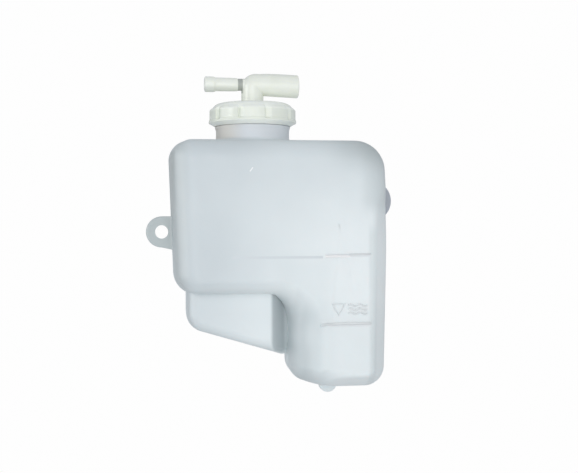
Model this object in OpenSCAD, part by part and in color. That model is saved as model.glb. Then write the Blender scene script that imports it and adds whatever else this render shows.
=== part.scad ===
// Coolant expansion tank: a blow moulded bottle with a screw cap, and a tee shaped
// hose fitting that stands in the cap and feeds a dip tube inside the bottle.
// The layout is drawn around the neck axis, with height 0 on the bottle's top face,
// and the whole of it is then moved so that the bolt hole of the ear is the origin.

/* [Bottle outline] */
// Distance from the neck axis to the left wall, measured at the top
left_x = 55.6; // [50:0.1:62]
// How far the left wall leans in over the height of the upper body
left_lean = 4.6; // [0:0.1:8]
// Distance from the neck axis to the right wall, measured at its middle
right_x = 83.9; // [76:0.1:92]
// How far the right wall comes in at the top and at the bottom
right_bow = 2.6; // [0:0.1:4]
// Height of the upper body, from the top face to the step above the foot block
upper_h = 98.5; // [85:0.5:105]
// Overall height of the bottle, without the neck
body_h = 157.8; // [140:0.1:175]
// Distance from the neck axis to the left wall of the column
column_x = 22.4; // [15:0.1:30]
// Slope of the foot block's underside and of the column's lower left corner, in degrees
foot_slope = 16.6; // [5:0.1:25]
// Width of the sloping stretch in the column's underside
column_cut_w = 19.5; // [10:0.5:30]
// Radius of the top left corner
corner_tl = 14.5; // [12:0.5:20]
// Radius of the top right corner
corner_tr = 18.5; // [14:0.5:26]
// Radius of the bottom right corner
corner_br = 13.8; // [12:0.5:20]
// Radius of the column's lower left corner
corner_bl = 14; // [12:0.5:18]
// Radius of the upper body's lower left corner
corner_ll = 15; // [12:0.5:20]
// Radius of the inner corner between upper body and column
corner_in = 9; // [4:0.5:14]

/* [Bottle depth] */
// Depth of the front half, from the parting plane to the front face
front_d = 37; // [32:0.5:42]
// Depth of the back half, from the parting plane to the back face
back_d = 30; // [26:0.5:40]
// Draft of the walls in the front half, in degrees
front_draft = 2; // [0.5:0.1:3]
// Draft of the walls in the back half, in degrees
back_draft = 3; // [0.5:0.1:4]
// Depth over which the front edges are rounded
front_round = 12.5; // [10:0.5:15]
// Depth over which the back edges are rounded
back_round = 12; // [9:0.5:14]
// Width of the rounding along the top edge
round_top = 13; // [10:0.5:14]
// Width of the rounding along the side walls
round_side = 12; // [9:0.5:13]
// Width of the rounding along the lower edges
round_low = 8.5; // [6:0.5:12]
// How far round its quarter turn the rounding of the column's right and lower sides
// goes: 1 runs smoothly into the front face, less leaves a crease
pad_turn = 0.93; // [0.9:0.01:1]
// Wall thickness of the bottle
wall = 2.4; // [1.8:0.1:3.2]

/* [Foot block] */
// Distance from the neck axis to the left wall of the foot block
foot_left_x = 43.4; // [38:0.1:48]
// Depth of the block's front face, measured from the parting plane
foot_front_d = 21; // [16:0.5:26]
// Depth of the block's back face, measured from the parting plane
foot_back_d = 26; // [20:0.5:29]
// Height of the underside on the neck axis, below the top face
foot_low = 132.5; // [120:0.1:140]
// How far the block's right side stands off the column at its front face
groove_w = 11.4; // [6:0.1:18]
// Rounding of the block's front edge beside the groove, crisper than the others
groove_round = 2.5; // [2.5:0.5:6]
// Radius of the block's lower left corner
corner_foot = 13; // [9:0.5:18]
// Rounding of the block's front and back edges
foot_round = 6; // [3:0.5:8]

/* [Neck] */
// Outer diameter of the neck below the cap
neck_od = 47.4; // [44:0.1:50]
// How much slimmer the neck's radius is where it carries the thread
neck_step = 1.5; // [1:0.1:2]
// Height of the plain lower neck
neck_plain_h = 10; // [8:0.5:12]
// Height of the neck's rim above the top face
neck_h = 18.4; // [16:0.1:22]
// Wall thickness of the neck
neck_wall = 2.4; // [1.8:0.1:3]

/* [Ear, tab and nub] */
// Distance from the neck axis to the ear's bolt hole
ear_x = 59; // [58.5:0.1:66]
// Depth of the bolt hole below the top face
ear_drop = 58.5; // [40:0.1:75]
// Outer radius of the ear
ear_r = 10; // [8:0.1:13]
// Drop of the flare where the ear's lower edge meets the wall
ear_flare = 1.6; // [0.8:0.1:3]
// Diameter of the bolt hole
ear_hole_d = 8.6; // [6:0.1:11]
// Thickness of the ear, the side tab and the bottom nub
tab_t = 4.6; // [3:0.1:6]
// Reach of the side tab beyond the right wall
tab_reach = 8; // [5:0.1:12]
// Radius of the side tab's outline
tab_r = 13.3; // [10:0.1:16]
// Depth of the side tab's middle below the top face
tab_drop = 38.6; // [30:0.1:60]
// Distance from the neck axis to the nub under the column
nub_x = 48.8; // [42:0.1:62]
// Radius of the nub
nub_r = 5.9; // [5:0.1:9]

/* [Level marks] */
// Depth of the upper level mark below the top face
full_drop = 74.2; // [60:0.1:80]
// Depth of the lower level mark below the top face
low_drop = 117.1; // [105:0.1:125]
// Distance from the neck axis to the left end of the marks
mark_x = 40.5; // [36:0.5:48]
// Length of the marks
mark_w = 29.5; // [20:0.5:32]
// Slope of the marks, in degrees
mark_tilt = 3; // [0:0.1:5]
// Thickness of the raised lines of the marks
mark_t = 0.9; // [0.6:0.1:1.5]
// Height of the marks above the front face
mark_proud = 0.5; // [0.3:0.1:1]

/* [Screw cap] */
// How far the lip around the cap's lower edge stands out from the skirt
lip_out = 2.2; // [1.6:0.1:3]
// How far the grip lobes rise above the skirt at their step
lobe_out = 1.9; // [1:0.1:2.4]
// Number of grip lobes
lobe_n = 10; // [6:1:16]
// Turn of the first lobe's step, in degrees
lobe_start = -8; // [-18:1:18]
// Length of the skirt below the underside of the cap's top
skirt_l = 11.7; // [10:0.1:14]
// Wall thickness of the skirt
skirt_wall = 2; // [1.5:0.1:2.4]
// Thickness of the cap's top
cap_top_t = 2; // [1.5:0.1:2.8]
// Radius of the cap's shoulder
shoulder_r = 4.6; // [2:0.1:6]

/* [Hose fitting] */
// Outer diameter of the stem and the elbow
stem_od = 14.3; // [13:0.1:17]
// How much thicker the vent tube's radius is than the elbow's
vent_step = 0.35; // [0.2:0.05:1]
// Height of the tubes' axis above the cap's top
tube_rise = 12.4; // [11:0.1:20]
// Bend radius of the elbow
elbow_bend = 2; // [1:0.1:5]
// Reach of the vent tube from the neck axis
vent_reach = 29.8; // [24:0.1:40]
// Wall thickness of the stem and the vent tube
fitting_wall = 1.9; // [1.8:0.1:2.2]
// Outer diameter of the hose spigot
spigot_od = 8.8; // [8:0.1:10]
// How far the bead stands out from the spigot
bead_out = 0.6; // [0.4:0.1:1.5]
// Length of the bead
bead_l = 7; // [4:0.1:10]
// Reach of the spigot from the neck axis
spigot_reach = 31.1; // [26:0.1:38]
// Bore of the spigot and of the inner pipe
spigot_bore = 5; // [4:0.1:6]
// Wall thickness of the inner pipe
pipe_wall = 0.7; // [0.6:0.05:0.8]

/* [Inside the cap] */
// Thickness of the inner disc's flange
disc_t = 1.8; // [1.4:0.1:2.4]
// Wall thickness of the disc's hub
hub_wall = 2; // [1.5:0.1:3]
// Length of the hub below the flange
hub_l = 6.6; // [6:0.1:9]
// Thickness of the gasket
gasket_t = 1.5; // [1:0.1:2.5]
// Thickness of the O-ring's section
oring_d = 1.2; // [1:0.1:1.4]
// Wall thickness of the dip tube
dip_wall = 1.25; // [1:0.05:1.6]
// Depth of the dip tube's lower end below the bottle's top face
dip_drop = 122; // [100:0.5:125]

/* [Clearances] */
// Radial gap between the neck and the cap's skirt
skirt_gap = 0.5; // [0.3:0.1:1]
// Radial gap between the inner disc and the cap's skirt
disc_gap = 2.5; // [2:0.1:3]
// Axial gap between parts that turn or lift against each other
seat_gap = 0.3; // [0.3:0.05:0.5]
// Radial gap of the stem in the disc's hub
swivel_gap = 0.08; // [0.04:0.01:0.1]
// Radial gap between the cap's top and the stem
cap_hole_gap = 0.4; // [0.3:0.05:0.8]
// Radial gap between the dip tube and the inner pipe
dip_gap = 0.05; // [0.02:0.01:0.1]

/* [Hidden] */

bore_fn = 96;
corner_steps = 7;
round_steps = 6;
bottle_white = [0.84, 0.88, 0.9];
cap_cream = [0.86, 0.88, 0.83];
rubber_black = [0.12, 0.12, 0.13];
pipe_grey = [0.75, 0.77, 0.78];

neck_r = neck_od / 2;
finish_r = neck_r - neck_step;
neck_bore_r = finish_r - neck_wall;
neck_low_bore_r = neck_r - neck_wall;
column_bottom_x = column_x + column_cut_w;
column_cut_h = column_cut_w * tan(foot_slope);
cut_r = 40;
bow_r = 500;
bow_drop = 0.38 * body_h;
foot_corner_r = 3.5;
bead_edge = 1;
ear_mid = [-ear_x, 0, -ear_drop];

gasket_low = neck_h + seat_gap;
gasket_top = gasket_low + gasket_t;
cap_inner_top = gasket_top + disc_t + seat_gap;
cap_top = cap_inner_top + cap_top_t;
cap_base = cap_inner_top - skirt_l;
skirt_bore_r = neck_r + skirt_gap;
skirt_r = skirt_bore_r + skirt_wall;
disc_r = skirt_bore_r - disc_gap;
lip_t = 1.1;
lip_r = skirt_r + lip_out;
lobe_low = cap_base + 1.5 * lip_t;
lobe_h = cap_top - shoulder_r - 0.5 * lip_t - lobe_low;
lobe_steps = 4;
lobe_turn = 0.85 * 360 / lobe_n;
lobe_sunk = 0.2;

stem_r = stem_od / 2;
stem_bore_r = stem_r - fitting_wall;
vent_r = stem_r + vent_step;
vent_from = stem_r + elbow_bend;
tube_axis_h = cap_top + tube_rise;
spigot_r = spigot_od / 2;
bead_r = spigot_r + bead_out;
pipe_r = spigot_bore / 2 + pipe_wall;
dip_bore_r = pipe_r + dip_gap;
dip_r = dip_bore_r + dip_wall;
hub_bore_r = stem_r + swivel_gap;
hub_r = hub_bore_r + hub_wall;
hub_low = gasket_top - hub_l;
snap_h = 1.6;
snap_out = 0.9;
stem_low = hub_low - seat_gap - snap_h;
oring_z = hub_low + hub_l / 2;
groove_h = oring_d + 0.3;
groove_d = oring_d + 0.05;
dip_top = stem_low - 2;
pipe_plug = 10;
pipe_low = dip_top - pipe_plug;

// Two dimensional helpers: the crossing of two lines, each given by a point and a
// direction, and the inward normal of an outline that runs anticlockwise
function cross2(a, b) = a[0] * b[1] - a[1] * b[0];
function meet(p, u, q, v) = p + u * (cross2(q - p, v) / cross2(u, v));
function inward(u) = [-u[1], u[0]] / norm(u);

// Outline moved inwards, each side by its own distance
function inset(pts, d) =
    let (n = len(pts))
    [for (i = [0:n - 1])
        let (
            a = pts[(i + n - 1) % n],
            b = pts[i],
            c = pts[(i + 1) % n],
            u = b - a,
            v = c - b,
            j = (i + n - 1) % n
        )
        meet(b + inward(u) * d[j], u, b + inward(v) * d[i], v)];

// Points of one rounded corner b between a and c, with a radius and a number of steps
function corner(a, b, c, r, steps) =
    let (
        u = (a - b) / norm(a - b),
        v = (c - b) / norm(c - b),
        half = acos(u * v) / 2,
        reach = r / tan(half),
        bis = (u + v) / norm(u + v),
        mid = b + bis * (r / sin(half)),
        p = b + u * reach - mid,
        turn = (180 - 2 * half) * sign(cross2(-u, v))
    )
    [for (k = [0:steps])
        let (t = turn * k / steps)
        mid + [p[0] * cos(t) - p[1] * sin(t), p[0] * sin(t) + p[1] * cos(t)]];

// Whole outline with its corners rounded. An inset makes an outer corner tighter
// and an inner corner wider.
function rounded(pts, radii, steps, d) =
    let (n = len(pts), q = inset(pts, d))
    [for (i = [0:n - 1])
        let (
            j = (i + n - 1) % n,
            a = q[j],
            b = q[i],
            c = q[(i + 1) % n],
            outer = cross2(b - a, c - b) > 0,
            change = (d[i] + d[j]) / 2,
            r = outer ? max(radii[i] - change, 0.8) : radii[i] + change
        )
        each corner(a, b, c, r, steps[i])];

// Depths at which a half is drawn, from the parting plane out to its face, and how far
// round the edge each one lies, from 0 at the start of the rounding to 1 at the face
function edge_turn(i) = sin(90 * i / round_steps);
function edge_width(t) = 1 - sqrt(1 - t * t);
function edge_share(t, bend) = edge_width(bend * t) / edge_width(bend);

// Skin over a stack of outlines, with a fan to the given middle at both ends
module skin(rows, depths, first_mid, last_mid) {
    n = len(rows[0]);
    m = len(rows);
    side_points = [for (i = [0:m - 1]) for (p = rows[i]) [p[0], depths[i], p[1]]];
    points = concat(side_points, [[first_mid[0], depths[0], first_mid[1]],
                                  [last_mid[0], depths[m - 1], last_mid[1]]]);
    sides = [for (i = [0:m - 2]) for (j = [0:n - 1])
        let (a = i * n + j, b = i * n + (j + 1) % n, c = a + n, d = b + n)
        each [[a, b, c], [b, d, c]]];
    first_fan = [for (j = [0:n - 1]) [m * n, (j + 1) % n, j]];
    last_fan = [for (j = [0:n - 1])
        [m * n + 1, (m - 1) * n + j, (m - 1) * n + (j + 1) % n]];
    polyhedron(points = points, faces = concat(sides, first_fan, last_fan));
}

// Upper body and column as one outline at the parting plane, anticlockwise from the
// top left corner, seen from the front
l_outline = [
    [-left_x, 0],
    [-left_x + left_lean, -upper_h],
    [column_x, -upper_h],
    [column_x, -body_h + column_cut_h],
    [column_bottom_x, -body_h],
    [right_x - right_bow, -body_h],
    [right_x, -bow_drop],
    [right_x - right_bow / 2, 0]
];
l_radii = [corner_tl, corner_ll, corner_in, corner_bl, cut_r, corner_br, bow_r, corner_tr];
l_steps = [corner_steps, corner_steps, corner_steps, 5, 2, corner_steps, 2, corner_steps];
l_rounds = [round_side, round_low, round_side, round_low, round_low,
            round_side, round_side, round_top];
l_bends = [1, 1, 1, 1, pad_turn, pad_turn, pad_turn, 1];
l_middle = [right_x * 0.6, -body_h * 0.33];

// Depths of the skin's rows from the front face to the back face, with how far round
// the edge each row lies
function row_depths(front, back, fr, br, inner) = concat(
    [for (i = [round_steps:-1:0]) -(front - inner - fr) - fr * edge_turn(i)],
    [0],
    [for (i = [0:round_steps]) (back - inner - br) + br * edge_turn(i)]);
row_turns = concat(
    [for (i = [round_steps:-1:0]) edge_turn(i)], [0], [for (i = [0:round_steps]) edge_turn(i)]);
function row_draft(y) = y < 0 ? -y * tan(front_draft) : y * tan(back_draft);

module l_body(inner) {
    fr = front_round - inner;
    br = back_round - inner;
    depths = row_depths(front_d, back_d, fr, br, inner);
    rows = [for (i = [0:len(depths) - 1])
        rounded(l_outline, l_radii, l_steps,
            [for (k = [0:len(l_rounds) - 1])
                inner + row_draft(depths[i])
                + (l_rounds[k] - inner) * edge_share(row_turns[i], l_bends[k])])];
    skin(rows, depths, l_middle, l_middle);
}

// Foot block: its right side leans away from the column towards the front, which
// leaves the open groove between the two
function foot_right(y) = column_x + min(y, foot_back_d / 3) * groove_w / foot_front_d;
function foot_under(x) = -foot_low - x * tan(foot_slope);
function foot_outline(y) = [
    [-foot_left_x, -upper_h + foot_round],
    [-foot_left_x, foot_under(-foot_left_x)],
    [foot_right(y), foot_under(foot_right(y))],
    [foot_right(y), -upper_h + foot_round]
];

// Widths of the edge rounding on the block's left, lower and right side; its top is inside
foot_rounds = [foot_round, foot_round, groove_round, 0];

module foot_block(inner) {
    fr = foot_round - inner;
    depths = row_depths(foot_front_d, foot_back_d, fr, fr, inner);
    rows = [for (i = [0:len(depths) - 1])
        rounded(foot_outline(depths[i]), [1, corner_foot, foot_corner_r, 1],
            [1, corner_steps, 3, 1],
            [for (w = foot_rounds)
                w == 0 ? 0
                : inner + row_draft(depths[i]) + max(0, w - inner) * edge_width(row_turns[i])])];
    middle = [-foot_left_x / 3, -(upper_h + foot_low) / 2];
    skin(rows, depths, middle, middle);
}

module neck_outside() {
    rotate_extrude($fn = bore_fn)
        polygon([[0, -front_round / 2], [neck_r, -front_round / 2], [neck_r, neck_plain_h],
                 [finish_r, neck_plain_h + neck_r - finish_r], [finish_r, neck_h], [0, neck_h]]);
}

module neck_inside() {
    step_h = neck_low_bore_r - neck_bore_r;
    rotate_extrude($fn = bore_fn)
        polygon([[0, -front_round / 2 - wall], [neck_low_bore_r, -front_round / 2 - wall],
                 [neck_low_bore_r, neck_plain_h - step_h], [neck_bore_r, neck_plain_h],
                 [neck_bore_r, neck_h + 1], [0, neck_h + 1]]);
}

// A flat plate that stands in the parting plane, drawn as seen from the front
module in_parting_plane() {
    rotate([90, 0, 0])
        translate([0, 0, -tab_t / 2])
            linear_extrude(height = tab_t)
                children();
}

module ear() {
    wall_x = ear_x - left_x + left_lean * ear_drop / upper_h;
    root = wall_x + wall / 2;
    in_parting_plane()
        translate([-ear_x, -ear_drop])
            union() {
                circle(r = ear_r, $fn = bore_fn);
                translate([0, -ear_r])
                    square([root, 2 * ear_r]);
                polygon([[0, -ear_r], [root, -ear_r - ear_flare], [root, 0]]);
            }
}

module side_tab() {
    in_parting_plane()
        translate([right_x + tab_reach - tab_r, -tab_drop])
            circle(r = tab_r, $fn = bore_fn);
}

module bottom_nub() {
    in_parting_plane()
        translate([nub_x, -body_h])
            circle(r = nub_r, $fn = bore_fn);
}

// One raised line across the front face
module level_line(drop) {
    translate([mark_x, -front_d - mark_proud, -drop])
        rotate([0, -mark_tilt, 0])
            cube([mark_w, mark_proud + wall / 2, mark_t]);
}

module level_marks() {
    level_line(full_drop);
    level_line(low_drop);
}

module tank_bottle() {
    color(bottle_white)
        place()
            difference() {
                union() {
                    l_body(0);
                    foot_block(0);
                    neck_outside();
                    ear();
                    side_tab();
                    bottom_nub();
                    level_marks();
                }
                l_body(wall);
                foot_block(wall);
                neck_inside();
                translate([-ear_x, tab_t, -ear_drop])
                    rotate([90, 0, 0])
                        cylinder(d = ear_hole_d, h = 2 * tab_t, $fn = bore_fn);
            }
}

// Screw cap: skirt with grip lobes, a rounded shoulder and a top with a hole for the stem
module screw_cap() {
    color(cap_cream)
        place()
            difference() {
                union() {
                    cap_outside();
                    for (i = [0:lobe_n - 1])
                        rotate([0, 0, lobe_start + i * 360 / lobe_n])
                            grip_lobe();
                }
                translate([0, 0, cap_base - 1])
                    cylinder(r = skirt_bore_r, h = cap_inner_top - cap_base + 1, $fn = bore_fn);
                translate([0, 0, cap_base])
                    cylinder(r = stem_r + cap_hole_gap, h = cap_top - cap_base + 1, $fn = bore_fn);
            }
}

// One lobe: it rises along the skirt anticlockwise and ends in a step
module grip_lobe() {
    low_r = skirt_r - lobe_sunk;
    turns = [for (k = [0:lobe_steps]) -lobe_turn * (1 - k / lobe_steps)];
    outer = [for (k = [0:lobe_steps])
        (low_r + (lobe_out + lobe_sunk) * k / lobe_steps) * [cos(turns[k]), sin(turns[k])]];
    inner = [for (k = [lobe_steps:-1:0])
        (skirt_bore_r + skirt_wall / 2) * [cos(turns[k]), sin(turns[k])]];
    translate([0, 0, lobe_low])
        linear_extrude(height = lobe_h)
            polygon(concat(outer, inner));
}

module cap_outside() {
    shoulder = [for (a = [0:15:90])
        [skirt_r - shoulder_r + shoulder_r * cos(a), cap_top - shoulder_r + shoulder_r * sin(a)]];
    rotate_extrude($fn = bore_fn)
        polygon(concat([[0, cap_base], [skirt_bore_r + 0.1, cap_base], [lip_r, cap_base + lip_t],
                        [lip_r, cap_base + 2 * lip_t], [skirt_r, cap_base + 3 * lip_t]],
                       shoulder, [[0, cap_top]]));
}

// Disc that the cap clamps on the neck. The stem turns in its hub.
module inner_disc() {
    color(pipe_grey)
        place()
            difference() {
                union() {
                    translate([0, 0, gasket_top])
                        cylinder(r = disc_r, h = disc_t, $fn = bore_fn);
                    translate([0, 0, hub_low])
                        cylinder(r = hub_r, h = hub_l + disc_t / 2, $fn = bore_fn);
                }
                translate([0, 0, hub_low - 1])
                    cylinder(r = hub_bore_r, h = hub_l + disc_t + 2, $fn = bore_fn);
            }
}

module cap_gasket() {
    color(rubber_black)
        place()
            translate([0, 0, gasket_low])
                difference() {
                    cylinder(r = disc_r, h = gasket_t, $fn = bore_fn);
                    translate([0, 0, -1])
                        cylinder(r = neck_bore_r - 1, h = gasket_t + 2, $fn = bore_fn);
                }
}

// Hose fitting: stem and elbow with the wide vent tube to the right, and the hose
// spigot to the left whose passage runs down through the inner pipe
module hose_fitting() {
    color(cap_cream)
        place()
            difference() {
                union() {
                    difference() {
                        fitting_outside();
                        vent_passage();
                    }
                    inner_pipe();
                    hose_spigot();
                }
                spigot_passage();
                oring_groove();
            }
}

// A round bar that turns from upright to level, towards the right
module elbow(r) {
    translate([elbow_bend, 0, tube_axis_h - elbow_bend])
        rotate([90, 0, 0])
            rotate([0, 0, 90])
                rotate_extrude(angle = 90, $fn = bore_fn)
                    intersection() {
                        translate([elbow_bend, 0])
                            circle(r = r, $fn = bore_fn);
                        translate([0, -r])
                            square(2 * r + elbow_bend);
                    }
}

module bar_up(r, low, high) {
    translate([0, 0, low])
        cylinder(r = r, h = high - low, $fn = bore_fn);
}

module bar_right(r, from_x, to_x) {
    translate([from_x, 0, tube_axis_h])
        rotate([0, 90, 0])
            cylinder(r = r, h = to_x - from_x, $fn = bore_fn);
}

module fitting_outside() {
    bar_up(stem_r, stem_low, tube_axis_h - elbow_bend);
    bar_up(stem_r + snap_out, stem_low, stem_low + snap_h);
    elbow(stem_r);
    bar_right(stem_r, elbow_bend, vent_from + 1);
    bar_right(vent_r, vent_from, vent_reach);
}

module vent_passage() {
    bar_up(stem_bore_r, stem_low - 1, tube_axis_h - elbow_bend);
    elbow(stem_bore_r);
    bar_right(stem_bore_r, elbow_bend, vent_reach + 1);
}

module inner_pipe() {
    bar_up(pipe_r, pipe_low, tube_axis_h);
    bar_right(pipe_r, -stem_r, 0);
    translate([0, 0, tube_axis_h])
        sphere(r = pipe_r, $fn = bore_fn);
}

module hose_spigot() {
    bar_right(spigot_r, -spigot_reach + bead_edge, -stem_bore_r);
    bar_right(bead_r, -spigot_reach + bead_edge, -spigot_reach + bead_l);
    translate([-spigot_reach, 0, tube_axis_h])
        rotate([0, 90, 0])
            cylinder(r1 = bead_r - bead_edge, r2 = bead_r, h = bead_edge, $fn = bore_fn);
}

module spigot_passage() {
    bar_up(spigot_bore / 2, pipe_low - 1, tube_axis_h);
    bar_right(spigot_bore / 2, -spigot_reach - 1, 0);
    translate([0, 0, tube_axis_h])
        sphere(d = spigot_bore, $fn = bore_fn);
}

module oring_groove() {
    translate([0, 0, oring_z - groove_h / 2])
        difference() {
            cylinder(r = stem_r + 1, h = groove_h, $fn = bore_fn);
            translate([0, 0, -1])
                cylinder(r = stem_r - groove_d, h = groove_h + 2, $fn = bore_fn);
        }
}

module stem_o_ring() {
    color(rubber_black)
        place()
            translate([0, 0, oring_z])
                rotate_extrude($fn = bore_fn)
                    translate([stem_r - oring_d / 2, 0])
                        circle(d = oring_d, $fn = 32);
}

module dip_tube() {
    color(pipe_grey)
        place()
            difference() {
                bar_up(dip_r, -dip_drop, dip_top);
                bar_up(dip_bore_r, -dip_drop - 1, dip_top + 1);
            }
}

// Puts the bolt hole of the ear at the origin
module place() {
    translate(-ear_mid)
        children();
}

tank_bottle();
screw_cap();
inner_disc();
cap_gasket();
hose_fitting();
stem_o_ring();
dip_tube();
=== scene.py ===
# Looks of a coolant expansion tank: blow moulded bottle, screw cap and tee hose fitting.
# Shapes are worked out in millimetres around the neck axis, with height 0 on the
# bottle's top face, and go into the shared frame in metres when a mesh is made.
import math

import bpy
import numpy as np
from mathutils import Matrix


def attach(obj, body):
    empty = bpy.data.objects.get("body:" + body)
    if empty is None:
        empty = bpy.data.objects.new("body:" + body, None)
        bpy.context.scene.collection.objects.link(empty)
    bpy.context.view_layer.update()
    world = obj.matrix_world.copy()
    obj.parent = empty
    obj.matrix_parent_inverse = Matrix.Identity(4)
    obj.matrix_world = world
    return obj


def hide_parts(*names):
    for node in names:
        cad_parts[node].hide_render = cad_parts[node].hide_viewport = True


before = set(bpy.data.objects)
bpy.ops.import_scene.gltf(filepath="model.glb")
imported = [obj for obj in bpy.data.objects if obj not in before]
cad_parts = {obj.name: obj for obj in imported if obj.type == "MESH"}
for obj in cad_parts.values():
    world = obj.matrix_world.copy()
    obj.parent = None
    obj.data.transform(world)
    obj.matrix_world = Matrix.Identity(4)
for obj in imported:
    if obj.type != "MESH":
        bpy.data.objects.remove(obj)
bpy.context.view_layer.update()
print("frame loaded:", sorted(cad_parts))

neckAxis = np.array([59.0, 0.0, 58.5])  # from the layout around the neck to the bolt hole
bottleBody, capBody, fittingBody = "bottle", "cap", "fitting"
mergeWithin, collapseWithin = 0.000004, 0.000001      # metres, for doubles and slivers
leastRadius = 0.8                                     # of a corner that its inset makes tighter


def meshObject(name, verts, faces):
    # verts in layout millimetres; the object stays at the origin, its place is in the mesh
    mesh = bpy.data.meshes.new(name)
    mesh.from_pydata(((verts + neckAxis) / 1000.0).tolist(), [], faces)
    mesh.validate()
    obj = bpy.data.objects.new(name, mesh)
    bpy.context.scene.collection.objects.link(obj)
    return obj


def gridFaces(rows, cols, closeRows):
    # quads between neighbouring rows of a grid that is closed around its columns, as index
    # arithmetic on whole arrays
    row, col = np.meshgrid(np.arange(rows if closeRows else rows - 1), np.arange(cols), indexing="ij")
    nextRow, nextCol = (row + 1) % rows, (col + 1) % cols
    corners = [row * cols + col, row * cols + nextCol, nextRow * cols + nextCol, nextRow * cols + col]
    return np.stack(corners, axis=-1).reshape(-1, 4).tolist()


def skinMesh(name, grid, closeRows=False):
    # grid (rows, cols, 3), closed around its columns; open ends get a fan to their middle
    rows, cols = grid.shape[:2]
    verts = grid.reshape(-1, 3)
    faces = gridFaces(rows, cols, closeRows)
    if not closeRows:
        middle = len(verts)
        verts = np.vstack([verts, grid[0].mean(axis=0), grid[-1].mean(axis=0)])
        ring = np.arange(cols)
        following = (ring + 1) % cols
        last = (rows - 1) * cols
        faces += np.stack([np.full(cols, middle), following, ring], axis=1).tolist()
        faces += np.stack([np.full(cols, middle + 1), last + ring, last + following], axis=1).tolist()
    return meshObject(name, verts, faces)


def facingOut(obj):
    # merges doubles, then turns the faces outwards
    bpy.context.view_layer.objects.active = obj
    bpy.ops.object.select_all(action="DESELECT")
    obj.select_set(True)
    bpy.ops.object.mode_set(mode="EDIT")
    bpy.ops.mesh.select_all(action="SELECT")
    bpy.ops.mesh.remove_doubles(threshold=mergeWithin)
    bpy.ops.mesh.dissolve_degenerate(threshold=collapseWithin)
    bpy.ops.mesh.normals_make_consistent(inside=False)
    bpy.ops.object.mode_set(mode="OBJECT")
    return obj


def joinSolids(base, others, operation):
    # exact boolean of base with every other solid; the others are removed afterwards
    for other in others:
        cut = base.modifiers.new("join", "BOOLEAN")
        cut.operation = operation
        cut.solver = "EXACT"
        cut.object = other
    bpy.context.view_layer.update()
    ready = base.evaluated_get(bpy.context.evaluated_depsgraph_get())
    mesh = bpy.data.meshes.new_from_object(ready)
    base.modifiers.clear()
    old = base.data
    base.data = mesh
    bpy.data.meshes.remove(old)
    for other in others:
        bpy.data.objects.remove(other)


def addShells(base, others):
    # makes the others part of the base's mesh as they are
    bpy.ops.object.select_all(action="DESELECT")
    for other in others + [base]:
        other.select_set(True)
    bpy.context.view_layer.objects.active = base
    bpy.ops.object.join()


def finishSolid(obj, sharpDegrees):
    # smooth faces, with edges over the angle kept sharp, and normals weighted by face area
    mesh = obj.data
    mesh.polygons.foreach_set("use_smooth", [True] * len(mesh.polygons))
    mesh.set_sharp_from_angle(angle=math.radians(sharpDegrees))
    weighted = obj.modifiers.new("evenNormals", "WEIGHTED_NORMAL")
    weighted.keep_sharp = True
    weighted.weight = 50
    print(obj.name, len(mesh.polygons), "faces")


def smoothStep(x):
    # 3 x^2 - 2 x^3 between 0 and 1
    x = np.clip(x, 0.0, 1.0)
    return x * x * (3 - 2 * x)


def ellipse(x):
    # how far a quarter circle has fallen at a share x of its radius
    return 1 - np.sqrt(1 - x ** 2)


def cross(a, b):
    # the vectors lie in the last axis, x and y
    return a[..., 0] * b[..., 1] - a[..., 1] * b[..., 0]


def unit(v):
    return v / np.linalg.norm(v, axis=-1, keepdims=True)


def roundedOutlines(points, radii, insets, arcSteps, sideSteps):
    # points (rows, n, 2), anticlockwise. Each side moves inwards by its inset, each corner
    # becomes an arc (centre + radius turned through the corner's angle), and each straight
    # side between two arcs is shared out evenly. Returns (rows, columns, 2).
    n = points.shape[1]
    before, after = np.roll(points, 1, axis=1), np.roll(points, -1, axis=1)
    u, v = points - before, after - points
    leftOf = lambda w: unit(np.stack([-w[..., 1], w[..., 0]], axis=-1))
    insetBefore = np.roll(insets, 1, axis=1)
    p = points + leftOf(u) * insetBefore[..., None]
    q = points + leftOf(v) * insets[..., None]
    moved = p + u * (cross(q - p, v) / cross(u, v))[..., None]
    before, after = np.roll(moved, 1, axis=1), np.roll(moved, -1, axis=1)
    toBefore, toAfter = unit(before - moved), unit(after - moved)
    convex = cross(moved - before, after - moved) > 0
    change = (insets + insetBefore) / 2
    radius = np.where(convex, np.maximum(radii - change, leastRadius), radii + change)
    half = np.arccos(np.clip((toBefore * toAfter).sum(axis=-1), -1, 1)) / 2
    centre = moved + unit(toBefore + toAfter) * (radius / np.sin(half))[..., None]
    arm = moved + toBefore * (radius / np.tan(half))[..., None] - centre
    turn = (math.pi - 2 * half) * np.sign(cross(-toBefore, toAfter))
    arcs = []
    for i in range(n):
        angle = turn[:, i, None] * np.linspace(0, 1, arcSteps[i] + 1)
        c, s = np.cos(angle), np.sin(angle)
        x, y = arm[:, i, 0, None], arm[:, i, 1, None]
        arcs.append(centre[:, i, None, :] + np.stack([x * c - y * s, x * s + y * c], axis=-1))
    full = []
    for i in range(n):
        share = np.linspace(0, 1, sideSteps[i] + 2)[1:-1, None]
        start, end = arcs[i][:, -1, None, :], arcs[(i + 1) % n][:, 0, None, :]
        full += [arcs[i], start * (1 - share) + end * share]
    return np.concatenate(full, axis=1)


def edgeShare(turn):
    # share of the rounding's width at a depth share: an ellipse that meets wall and face in tangents
    return ellipse(np.clip(turn, 0, 1))


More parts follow.
